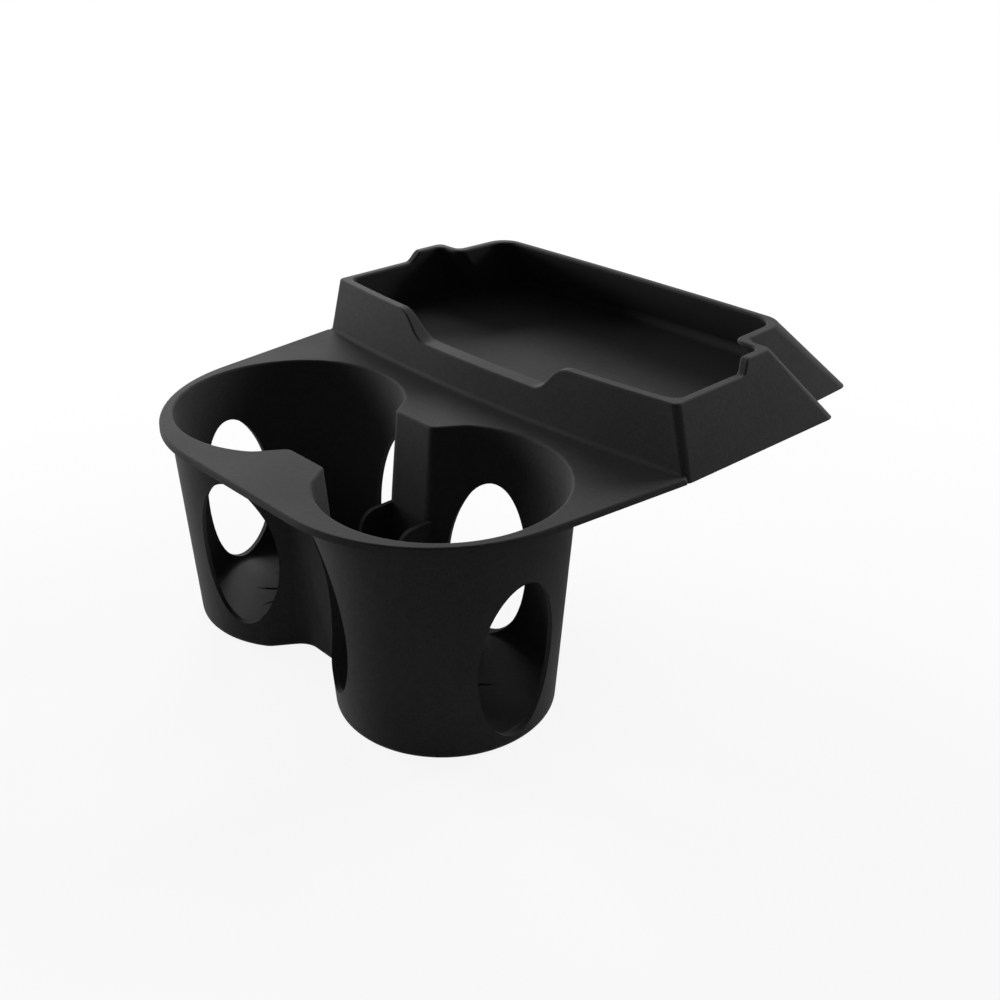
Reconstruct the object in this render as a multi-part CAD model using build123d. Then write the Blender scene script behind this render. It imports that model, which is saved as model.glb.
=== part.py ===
import os
from math import cos, radians, sin, tan
from build123d import *

# Two-cup console insert with a raised tray, moulded in one piece of soft rubber.
# Millimetres and degrees. X runs along the pair of cups, Y towards the tray, Z up.
# The origin lies midway between the cups on the seat plane, the underside of the flange.

# Flange
flange_t = 2.2            # thickness of the flange and of the tray floor
flange_front = 9.1        # mouth edge to the front edge
flange_side = 5.3         # mouth edge to the side edge, beside the cups
flange_corner = 57.0      # radius of the two front corners
flange_round = 0.7        # rounding of the upper outer edge

# Cups
cup_pitch = 81.0          # between the cup axes
mouth_d = 80.0            # clear diameter at the flange top
cup_depth = 77.5          # flange top to the underside of the cups
cup_draft = 4.6           # lean of the cup walls towards their axis
cup_wall = 1.8
cup_floor = 2.6
foot_round = 2.5          # outer edge of the cup bottoms
floor_round = 3.0         # inner edge of the cup floors
mouth_round = 0.8         # rounding of the mouth edge
neck_width = 43.8         # clear width of the passage between the wells at the flange top
web_tip = 19.0            # width of the two webs where they face the passage
web_flare = 34.0          # lean of the web sides away from each other
neck_round = 3.0          # rounding of the web tips
web_blend = 12.0          # rounding where the web sides run into the wells

# Oval windows in each cup wall, by their bearing from the outward side towards the tray
window_at = (-4.0, 113.3, 247.0)
window_drop = (46.1, 47.2, 40.7)    # flange top to each window centre
window_w = 28.6
window_h = 55.0

# Low fins that stand on the floor beside the passage
fin_t = 1.6
fin_pitch = 20.5          # between the two fins of one web
fin_gap = 11.0            # clear space between front and rear fins
fin_drop = 34.0           # flange top to the fin top
fin_round = 6.5           # upper free corner

# Radial grooves in the cup floors, deepest at the middle
groove_n = 8
groove_len = 17.0
groove_w = 1.2
groove_deep = 1.4

# Tray, measured on the seat plane
tray_gap = 9.0            # mouth edge to the front wall, at the middle
tray_bow = 5.8            # how far the ends of the front wall lie behind its middle
tray_front_w = 184.4      # width at the front corners
tray_wing_w = 188.0       # width at the wing tips
notch_step = 12.1         # wing tip to the side of the narrower rear part
tray_side = 78.5          # front corner to wing tip, along Y
tray_rear = 27.5          # wing tip to back corner, along Y
rear_taper = 1.0          # each side of the rear part draws in by this much towards the back
back_bow = 1.0            # how far the middle of the back wall stands out

# Tray walls, from the seat plane up to the high rim
rim_low = 22.2            # flange top to the front rim
rim_high = 26.8           # flange top to the side and back rim
rim_dip = 12.3            # flange top to the lowered middle of the front rim
front_lean = 1.1          # front wall leans back by this much
corner_lean = 7.6         # front corners lean inward
wing_lean = 10.4          # wings lean inward
wing_rake = 26.6          # wings lean forward
back_lean = 9.4           # rear part leans inward
back_rake = 28.9          # back wall leans forward
tray_wall = 3.4           # wall thickness, measured level
front_foot = 6.4          # extra thickness of the front wall at the floor
tray_fillet = 2.5         # inner edge of the tray floor
crease_fillet = 1.5       # flange to front wall
rim_round = 0.7           # rounding of the rim edges

# Lowered middle of the front rim and the steps of the side rim
dip_w = 54.2              # level width of the lowered middle
dip_run = 16.3            # length of each sloping end
step_back = 34.2          # front corner to the start of the side step
step_run = 5.5            # length of the side step

# Corner radii of the tray outline on the seat plane and at the high rim
corner_r = (2.5, 2.5)
wing_r = (5.0, 3.0)
notch_r = (3.0, 3.0)
back_r = (6.0, 9.0)
pocket_r = 4.0            # corners inside the tray

over = 10.0               # overrun of the cutting bodies

half_pitch = cup_pitch / 2
mouth_r = mouth_d / 2
top_z = flange_t
rim_z = flange_t + rim_high
z_bottom = top_z - cup_depth
z_floor = z_bottom + cup_floor


def well_outline(grow, z):
    """Both wells and the passage at one level, grown outward by an amount."""
    half_w = neck_width / 2 + grow
    disc = Circle(mouth_r + grow)
    shape = Pos(-half_pitch, 0) * disc + Pos(half_pitch, 0) * disc
    shape += Rectangle(cup_pitch, 2 * half_w)
    flare = radians(web_flare)
    a = web_tip / 2 - grow * tan(radians(45) - flare / 2)
    b = a + mouth_r / 2 * tan(flare)
    y = half_w + mouth_r / 2
    web = make_face(Polyline((a, half_w), (b, y), (-b, y), (-a, half_w), close=True))
    shape -= [web, mirror(web, about=Plane.XZ)]
    creases = [v for v in shape.vertices() if abs(v.Y) > half_w + 1e-4 and abs(v.X) < half_pitch]
    shape = fillet(creases, web_blend + grow)
    tips = [v for v in shape.vertices() if abs(abs(v.Y) - half_w) < 1e-4 and abs(v.X) < half_pitch]
    shape = fillet(tips, neck_round - grow)
    return Pos(0, 0, z) * shape


def well_body(wall, z_top, z_bottom):
    """Drafted figure-eight body; its wall offset is taken from the mouth at the flange top."""
    lean = tan(radians(cup_draft))
    ends = [well_outline(wall - (top_z - z) * lean, z) for z in (z_top, z_bottom)]
    return loft([ends[0].face(), ends[1].face()], ruled=True)


def round_foot(body, radius):
    """Rounds the edge of the lowest face."""
    return fillet(body.faces().sort_by(Axis.Z)[0].edges(), radius)


def blend(a, b, t):
    return a + (b - a) * t


def tray_points(z):
    """Right-hand corners of the tray outline at a level, from the front to the back."""
    t = z / rim_z
    y0 = mouth_r + tray_gap
    y1 = y0 + tray_bow
    y2 = y1 + tray_side
    front = (tray_front_w / 2 - corner_lean * t, y1 + front_lean * t)
    wing = (tray_wing_w / 2 - wing_lean * t, y2 - wing_rake * t)
    notch = (tray_wing_w / 2 - notch_step - back_lean * t, wing[1])
    back = (notch[0] - rear_taper, y2 + tray_rear - back_rake * t)
    return y0 + front_lean * t, front, wing, notch, back


def tray_outline(z, wall, front_wall):
    """Tray outline at a level, set inward by the wall thickness."""
    t = z / rim_z
    y_mid, front, wing, notch, back = tray_points(z)
    slope = (wing[0] - front[0]) / (wing[1] - front[1])
    y_front = front[1] + front_wall
    front = (front[0] - wall + slope * front_wall, y_front)
    wing = (wing[0] - wall, wing[1] - wall)
    notch = (notch[0] - wall, notch[1] - wall)
    back = (back[0] - wall, back[1] - wall)
    y_mid += front_wall
    y_back = back[1] + back_bow
    left = [(-x, y) for x, y in (front, wing, notch, back)]
    edges = [
        ThreePointArc(left[0], (0, y_mid), front),
        Line(front, wing),
        Line(wing, notch),
        Line(notch, back),
        ThreePointArc(back, (0, y_back), left[3]),
        Line(left[3], left[2]),
        Line(left[2], left[1]),
        Line(left[1], left[0]),
    ]
    face = make_face(edges)
    least = pocket_r if wall else 0
    radii = (
        (front, max(blend(*corner_r, t), least)),
        (wing, max(blend(*wing_r, t), least)),
        (notch, max(blend(*notch_r, t), least)),
        (back, max(blend(*back_r, t), least)),
    )
    for (x, y), radius in radii:
        ends = [v for v in face.vertices() if abs(abs(v.X) - x) < 1e-4 and abs(v.Y - y) < 1e-4]
        face = fillet(ends, radius)
    return Pos(0, 0, z) * face


def s_curve(start, end):
    """Curve between two points that leaves and arrives level."""
    mid = (start[0] + end[0]) / 2
    return Bezier(start, (mid, start[1]), (mid, end[1]), end)


def rim_cutters():
    """Bodies above the rim line: one for the low front and sides, one for the dip."""
    low = top_z + rim_low
    dip = top_z + rim_dip
    clear = rim_z + over
    y1 = mouth_r + tray_gap + tray_bow + step_back
    y_start = mouth_r
    side = make_face([
        Line((y_start, low), (y1, low)),
        s_curve((y1, low), (y1 + step_run, rim_z)),
        Line((y1 + step_run, rim_z), (y1 + step_run, clear)),
        Line((y1 + step_run, clear), (y_start, clear)),
        Line((y_start, clear), (y_start, low)),
    ])
    across = Plane.YZ * side
    a = dip_w / 2
    b = a + dip_run
    front = make_face([
        Line((-a, dip), (a, dip)),
        s_curve((a, dip), (b, low)),
        Line((b, low), (b, clear)),
        Line((b, clear), (-b, clear)),
        Line((-b, clear), (-b, low)),
        s_curve((-b, low), (-a, dip)),
    ])
    along = Plane.XZ.offset(-y_start) * front
    deep = tray_gap + tray_bow + front_lean + tray_wall + front_foot + over
    return [extrude(across, tray_wing_w, both=True), extrude(along, -deep)]


def flange_plate():
    y0 = -(mouth_r + flange_front)
    _, corner, _, _, _ = tray_points(0)
    x_side = half_pitch + mouth_r + flange_side
    slope = (corner[0] - x_side) / corner[1]
    x0 = x_side + slope * y0
    inside = (corner[0] - 2 * tray_wall, corner[1] + 2 * tray_wall)
    right = [(x0, y0), corner, inside]
    left = [(-x, y) for x, y in reversed(right)]
    face = make_face(Polyline(*right, *left, close=True))
    face = fillet([v for v in face.vertices() if abs(v.Y - y0) < 1e-4], flange_corner)
    return extrude(face, flange_t)


def tray_shell():
    outer = loft([tray_outline(0, 0, 0).face(), tray_outline(rim_z, 0, 0).face()], ruled=True)
    drop = rim_low + flange_t
    gain = front_foot / rim_low
    ends = []
    for z in (flange_t, rim_z + flange_t):
        ends.append(tray_outline(z, tray_wall, tray_wall + gain * (drop - z)).face())
    pocket = round_foot(loft(ends, ruled=True), tray_fillet)
    for cutter in rim_cutters():
        outer -= cutter
    return outer, pocket


def windows():
    """Radial oval cutters through the cup walls, mirrored between the two cups."""
    cutters = []
    for side in (-1, 1):
        for bearing, drop in zip(window_at, window_drop):
            a = radians(bearing)
            out = (side * cos(a), sin(a), 0)
            origin = (side * half_pitch, 0, top_z - drop)
            plane = Plane(origin, x_dir=(-out[1], out[0], 0), z_dir=out)
            cutters.append(extrude(plane * Ellipse(window_w / 2, window_h / 2), mouth_r + over))
    return cutters


def fins():
    """Four thin plates that stand on the floor and lean on the webs."""
    top = top_z - fin_drop
    y0 = fin_gap / 2
    y1 = neck_width / 2 + cup_wall
    plate = Polyline((y0, z_bottom), (y0, top), (y1, top), (y1, z_bottom), close=True)
    face = make_face(plate)
    corner = [v for v in face.vertices() if abs(v.X - y0) < 1e-4 and abs(v.Y - top) < 1e-4]
    face = fillet(corner, fin_round)
    fin = extrude(Plane.YZ * face, fin_t / 2, both=True)
    pair = [Pos(s * fin_pitch / 2, 0, 0) * fin for s in (-1, 1)]
    return pair + [mirror(f, about=Plane.XZ) for f in pair]


def grooves():
    """Crossing wedge cutters, one for each opposite pair of grooves."""
    wedge = make_face(Polyline((-groove_len, 0), (groove_len, 0), (0, -groove_deep), close=True))
    bar = extrude(Plane.XZ * wedge, groove_w / 2, both=True)
    bars = []
    for side in (-1, 1):
        for i in range(groove_n // 2):
            bars.append(Pos(side * half_pitch, 0, z_floor) * Rot(0, 0, 360 * i / groove_n) * bar)
    return bars


def flange_top(body):
    """Upper face of the flange, the one that holds the mouth."""
    level = [f for f in body.faces().filter_by(Plane.XY) if abs(f.center().Z - top_z) < 1e-4]
    return [f for f in level if f.inner_wires()][0]


def rim_edges(body):
    """Edges on both sides of the tray rim, found as the border of the level and sloping rim faces."""
    found = {}
    for face in body.faces():
        level = face.geom_type == GeomType.PLANE and face.center().Z > top_z + rim_dip / 2
        slope = face.geom_type == GeomType.EXTRUSION
        if level and face.normal_at().Z > 0.9 or slope:
            for edge in face.edges():
                found.setdefault(tuple(round(v, 3) for v in edge @ 0.5), []).append(edge)
    return [pair[0] for pair in found.values() if len(pair) == 1]


def round_edges(body):
    """Rounds the mouth, the flange edge, the crease in front of the tray and the tray rim."""
    body = fillet(rim_edges(body), rim_round)
    body = fillet(flange_top(body).inner_wires()[0].edges(), mouth_round)
    border = flange_top(body).outer_wire().edges()
    body = fillet([e for e in border if (e @ 0.5).Y > mouth_r + tray_gap / 2], crease_fillet)
    border = flange_top(body).outer_wire().edges()
    return fillet([e for e in border if (e @ 0.5).Y < mouth_r + tray_gap / 2], flange_round)


cups = round_foot(well_body(cup_wall, top_z, z_bottom), foot_round)
well = round_foot(well_body(0, top_z + flange_t, z_floor), floor_round)
tray, pocket = tray_shell()

body = flange_plate() + cups + tray
body -= well
body -= pocket
body = round_edges(body)
for fin in fins():
    body += fin & cups
for cutter in windows() + grooves():
    body -= cutter

os.makedirs("parts", exist_ok=True)
export_step(body, "parts/cup_holder.step")
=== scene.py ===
from math import cos, radians, sin

import bpy
from mathutils import Matrix, Vector


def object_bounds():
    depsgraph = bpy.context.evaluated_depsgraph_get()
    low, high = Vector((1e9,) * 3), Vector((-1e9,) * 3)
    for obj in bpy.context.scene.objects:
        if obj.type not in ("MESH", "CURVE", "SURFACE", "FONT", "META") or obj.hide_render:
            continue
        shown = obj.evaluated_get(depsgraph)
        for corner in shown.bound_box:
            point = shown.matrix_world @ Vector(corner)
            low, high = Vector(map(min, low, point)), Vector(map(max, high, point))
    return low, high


# Two-cup console insert with a raised tray, moulded in one piece of matte black rubber.
# Metres and degrees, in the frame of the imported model: X along the pair of cups,
# Y towards the tray, Z up. The CAD mesh is shown as it is, in a better material.

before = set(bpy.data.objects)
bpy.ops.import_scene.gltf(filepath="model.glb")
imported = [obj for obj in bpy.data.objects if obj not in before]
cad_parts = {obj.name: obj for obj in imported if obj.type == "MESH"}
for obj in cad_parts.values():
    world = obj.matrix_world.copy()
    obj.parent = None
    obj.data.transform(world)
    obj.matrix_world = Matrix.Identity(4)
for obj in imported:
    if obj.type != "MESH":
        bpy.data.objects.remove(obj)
cad_low, cad_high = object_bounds()
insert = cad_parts["cup_holder"]

# Camera
view_azimuth = 46.84        # from the front towards the right-hand end
view_elevation = 20.99
view_distance = 0.5116
view_aim = Vector((-0.0276, 0.0881, 0.0022))
focal_pixels = 1331.4       # focal length in pixels of the picture
picture_pixels = 1000
sensor_width = 36.0         # millimetres
lens_shift_up = -0.15       # share of the picture
near_clip = 0.01

# Rubber: the size of each pattern, and its share in the relief and in the tint
grain_size, grain_relief, grain_tint = 0.0007, 0.7, 0.5
pore_size, pore_relief, pore_tint = 0.0022, 0.4, 0.25
swirl_size, swirl_relief, swirl_tint = 0.024, 0.3, 0.25
handling_size = 0.060       # patches that hands have touched
handling_range = (0.42, 0.68)
tint_range = (0.3, 0.7)
dark_shade = (0.030, -0.03)     # value and warmth
light_shade = (0.043, 0.02)
bump_strength = 0.6
bump_depth = 0.00012
least_roughness = 0.68
grain_roughness = 0.12      # added by the grain
handling_roughness = 0.06   # added by the handling
specular_level = 0.08

# Studio
floor_size = 6.0
floor_gap = 0.0002          # below the cup bottoms
floor_paint = 0.60
floor_white = 0.90          # share of plain white near the object; the rest takes the shadow
floor_fade = (0.15, 0.75)   # between these distances the rest turns white too
ambient = 0.03
studio_centre = Vector((0.0, 0.045, -0.02))
lamp_distance = 0.9
lamp_size = 0.4
softboxes = {               # bearing from the camera's, elevation and watts
    "left_softbox": (-115, 14, 8.5),
    "back_softbox": (-165, 28, 6.4),
    "right_softbox": (120, 30, 7.8),
}


class Signal:
    """A value on its way through a node tree; arithmetic on it adds Math nodes."""

    def __init__(self, tree, socket=None):
        self.tree = tree
        self.socket = socket

    def node(self, kind, settings=None, sockets=None, out=0):
        """Adds a node of any type: its settings first, then the values or links of its sockets."""
        made = self.tree.nodes.new(kind)
        for name, value in (settings or {}).items():
            setattr(made, name, value)
        for name, value in (sockets or {}).items():
            if isinstance(value, Signal):
                self.tree.links.new(value.socket, made.inputs[name])
            else:
                made.inputs[name].default_value = value
        return Signal(self.tree, made.outputs[out]) if made.outputs else None

    def math(self, operation, *terms):
        return self.node("ShaderNodeMath", {"operation": operation}, dict(enumerate(terms)))

    def __add__(self, other):
        return self.math("ADD", self, other)

    def __mul__(self, other):
        return self.math("MULTIPLY", self, other)

    __radd__ = __add__
    __rmul__ = __mul__

    def most(self, other):
        return self.math("MAXIMUM", self, other)

    def between(self, low, high):
        """0 below the low value, 1 above the high value, with a soft change between them."""
        span = {0: self, 1: low, 2: high, 3: 0.0, 4: 1.0}
        return self.node("ShaderNodeMapRange", {"interpolation_type": "SMOOTHSTEP"}, span)

    def noise(self, size, detail=2.0, roughness=0.5):
        """Cloudy noise over a position, with patches of about the given size."""
        sockets = {"Vector": self, "Scale": 1 / size, "Detail": detail, "Roughness": roughness}
        return self.node("ShaderNodeTexNoise", {"noise_dimensions": "3D"}, sockets)

    def mix(self, first, second):
        """Blends two colours, the second where this value is 1."""
        sockets = {0: self, 6: first, 7: second}
        return self.node("ShaderNodeMix", {"data_type": "RGBA"}, sockets, out=2)


def new_tree(owner):
    owner.use_nodes = True
    owner.node_tree.nodes.clear()
    return Signal(owner.node_tree)


def grey(value, warmth=0.0):
    """A near-neutral colour; warmth above 0 leans to brown, below 0 to blue."""
    return (value * (1 + warmth), value, value * (1 - warmth), 1.0)


def black_rubber():
    """Matte black rubber with the fine grain of a spark-eroded mould."""
    material = bpy.data.materials.new("black_rubber")
    tree = new_tree(material)
    place = tree.node("ShaderNodeTexCoord", out="Object")
    grain = place.noise(grain_size, detail=3.0, roughness=0.6)
    pores = place.noise(pore_size)
    swirl = place.noise(swirl_size, detail=3.0)
    handling = place.noise(handling_size).between(*handling_range)
    relief = grain * grain_relief + pores * pore_relief + swirl * swirl_relief
    bump = tree.node("ShaderNodeBump", None, {
        "Strength": bump_strength,
        "Distance": bump_depth,
        "Height": relief,
    })
    tint = (swirl * swirl_tint + pores * pore_tint + grain * grain_tint).between(*tint_range)
    paint = tree.node("ShaderNodeBsdfPrincipled", None, {
        "Base Color": tint.mix(grey(*dark_shade), grey(*light_shade)),
        "Roughness": least_roughness + grain_roughness * grain + handling_roughness * handling,
        "Specular IOR Level": specular_level,
        "Normal": bump,
    })
    tree.node("ShaderNodeOutputMaterial", None, {"Surface": paint})
    return material


def seen_directly(tree):
    """1 for what the camera sees, also mirrored or through glass; 0 for the light on the object."""
    rays = [tree.node("ShaderNodeLightPath", out=name) for name in
            ("Is Camera Ray", "Is Glossy Ray", "Is Transmission Ray")]
    return rays[0].most(rays[1]).most(rays[2])


def pale_floor():
    """Pale floor that turns to plain white away from the object and keeps its shadow."""
    material = bpy.data.materials.new("pale_floor")
    tree = new_tree(material)
    place = tree.node("ShaderNodeTexCoord", out="Object")
    reach = tree.node("ShaderNodeVectorMath", {"operation": "LENGTH"}, {0: place}, out="Value")
    share = floor_white + (1 - floor_white) * reach.between(*floor_fade)
    matt = tree.node("ShaderNodeBsdfDiffuse", None, {"Color": grey(floor_paint)})
    white = tree.node("ShaderNodeEmission", None, {"Color": grey(1.0), "Strength": 1.0})
    sockets = {0: seen_directly(tree) * share, 1: matt, 2: white}
    surface = tree.node("ShaderNodeMixShader", None, sockets)
    tree.node("ShaderNodeOutputMaterial", None, {"Surface": surface})
    return material


def add_floor():
    half = floor_size / 2
    mesh = bpy.data.meshes.new("floor")
    corners = [(-half, -half, 0), (half, -half, 0), (half, half, 0), (-half, half, 0)]
    mesh.from_pydata(corners, [], [(0, 1, 2, 3)])
    mesh.materials.append(pale_floor())
    floor = bpy.data.objects.new("floor", mesh)
    floor.location.z = cad_low[2] - floor_gap
    bpy.context.scene.collection.objects.link(floor)


def add_world():
    """White where it is seen, and a faint even light on the object."""
    world = bpy.data.worlds.new("studio")
    tree = new_tree(world)
    shade = seen_directly(tree).mix(grey(ambient), grey(1.0))
    light = tree.node("ShaderNodeBackground", None, {"Color": shade, "Strength": 1.0})
    tree.node("ShaderNodeOutputWorld", None, {"Surface": light})
    bpy.context.scene.world = world


def bearing(azimuth, elevation):
    """Unit vector away from the object, with azimuth 0 in front and 90 at the right-hand end."""
    a = radians(azimuth)
    e = radians(elevation)
    return Vector((sin(a) * cos(e), -cos(a) * cos(e), sin(e)))


def add_softbox(name, azimuth, elevation, watts):
    """Square lamp that faces the middle of the studio."""
    lamp = bpy.data.lights.new(name, "AREA")
    lamp.shape = "SQUARE"
    lamp.size = lamp_size
    lamp.energy = watts
    box = bpy.data.objects.new(name, lamp)
    away = bearing(azimuth, elevation)
    box.location = studio_centre + away * lamp_distance
    box.rotation_euler = away.to_track_quat("Z", "Y").to_euler()
    bpy.context.scene.collection.objects.link(box)


def add_camera():
    lens = bpy.data.cameras.new("camera")
    lens.sensor_width = sensor_width
    lens.lens = focal_pixels / picture_pixels * sensor_width
    lens.shift_y = lens_shift_up
    lens.clip_start = near_clip
    back = bearing(view_azimuth, view_elevation)
    right = Vector((cos(radians(view_azimuth)), sin(radians(view_azimuth)), 0))
    turn = Matrix((right, back.cross(right), back)).transposed()
    camera = bpy.data.objects.new("camera", lens)
    camera.matrix_world = Matrix.Translation(view_aim + back * view_distance) @ turn.to_4x4()
    bpy.context.scene.collection.objects.link(camera)
    bpy.context.scene.camera = camera


insert.data.materials.clear()
insert.data.materials.append(black_rubber())

add_floor()
add_world()
for name, (turn, elevation, watts) in softboxes.items():
    add_softbox(name, view_azimuth + turn, elevation, watts)
add_camera()
bpy.context.scene.view_settings.view_transform = "Standard"
